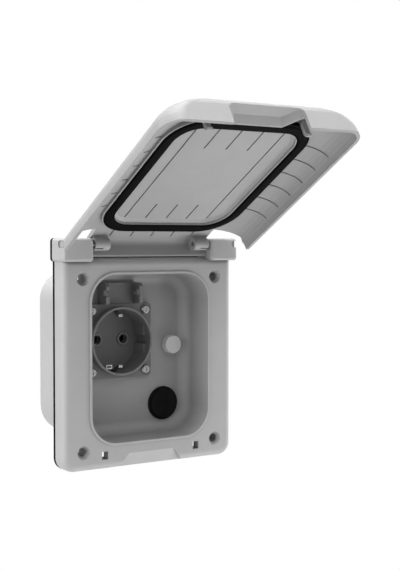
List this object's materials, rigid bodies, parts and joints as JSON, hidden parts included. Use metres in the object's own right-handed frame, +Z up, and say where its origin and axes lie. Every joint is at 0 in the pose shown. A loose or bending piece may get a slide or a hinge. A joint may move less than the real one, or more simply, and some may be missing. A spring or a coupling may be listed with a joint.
{
  "type": "caravan socket panel",
  "caption": "Flush-mounted caravan outlet panel with a hinged domed lid, a recess with an earthed mains socket, an aerial outlet and a 12 V outlet under caps, and a rear housing.",
  "frame": {"origin": "middle of the four fixing screws, on the plane of the wall that the sealing strip rests on", "axes": "+Z up along the wall, +Y into the wall, +X to the right as seen from the front"},
  "size_m": [0.13, 0.1963, 0.2106],
  "materials": {
    "flange": "satin",
    "housing": "satin",
    "lid": "satin",
    "rubber": "matte",
    "steel": "satin",
    "brass": "satin",
    "socket": "satin",
    "insulator": "satin",
    "plug_grey": "satin",
    "black": "satin"
  },
  "bodies": {
    "housing": {"front_frame": "flange", "wall_gasket": "rubber", "rear_housing": "housing", "hinge_pin_left": "steel", "hinge_pin_right": "steel", "socket_faceplate": "socket", "socket_gasket": "rubber", "socket_screws": "steel", "earth_clip": "steel", "socket_carrier": "insulator", "pin_contact_left": "brass", "pin_contact_right": "brass", "terminal_screws": "steel", "carrier_screw": "steel", "aerial_connector": "steel", "aerial_insulator": "insulator", "aerial_pin": "brass", "aerial_nut": "steel", "dc_barrel": "black", "dc_contact": "brass", "dc_nut": "black", "housing_screws": "steel", "cable_grommet": "rubber", "aerial_grommet": "rubber", "pot_floor": "socket", "pin_bush_left": "socket", "pin_bush_right": "socket"},
    "lid": {"lid": "lid", "lid_seal": "rubber"},
    "aerial_cap": {"aerial_cap": "plug_grey"},
    "dc_cap": {"dc_cap": "black"}
  },
  "joints": [
    {"name": "lid_hinge", "type": "hinge", "parent": "housing", "child": "lid", "pos_m": [0, -0.014, 0.0726], "axis": [-1, 0, 0], "range_deg": [-120, 0]},
    {"name": "aerial_cap_pull", "type": "slide", "parent": "housing", "child": "aerial_cap", "axis": [0, -1, 0], "range_m": [0, 0.01]},
    {"name": "dc_cap_pull", "type": "slide", "parent": "housing", "child": "dc_cap", "axis": [0, -1, 0], "range_m": [0, 0.012]}
  ]
}
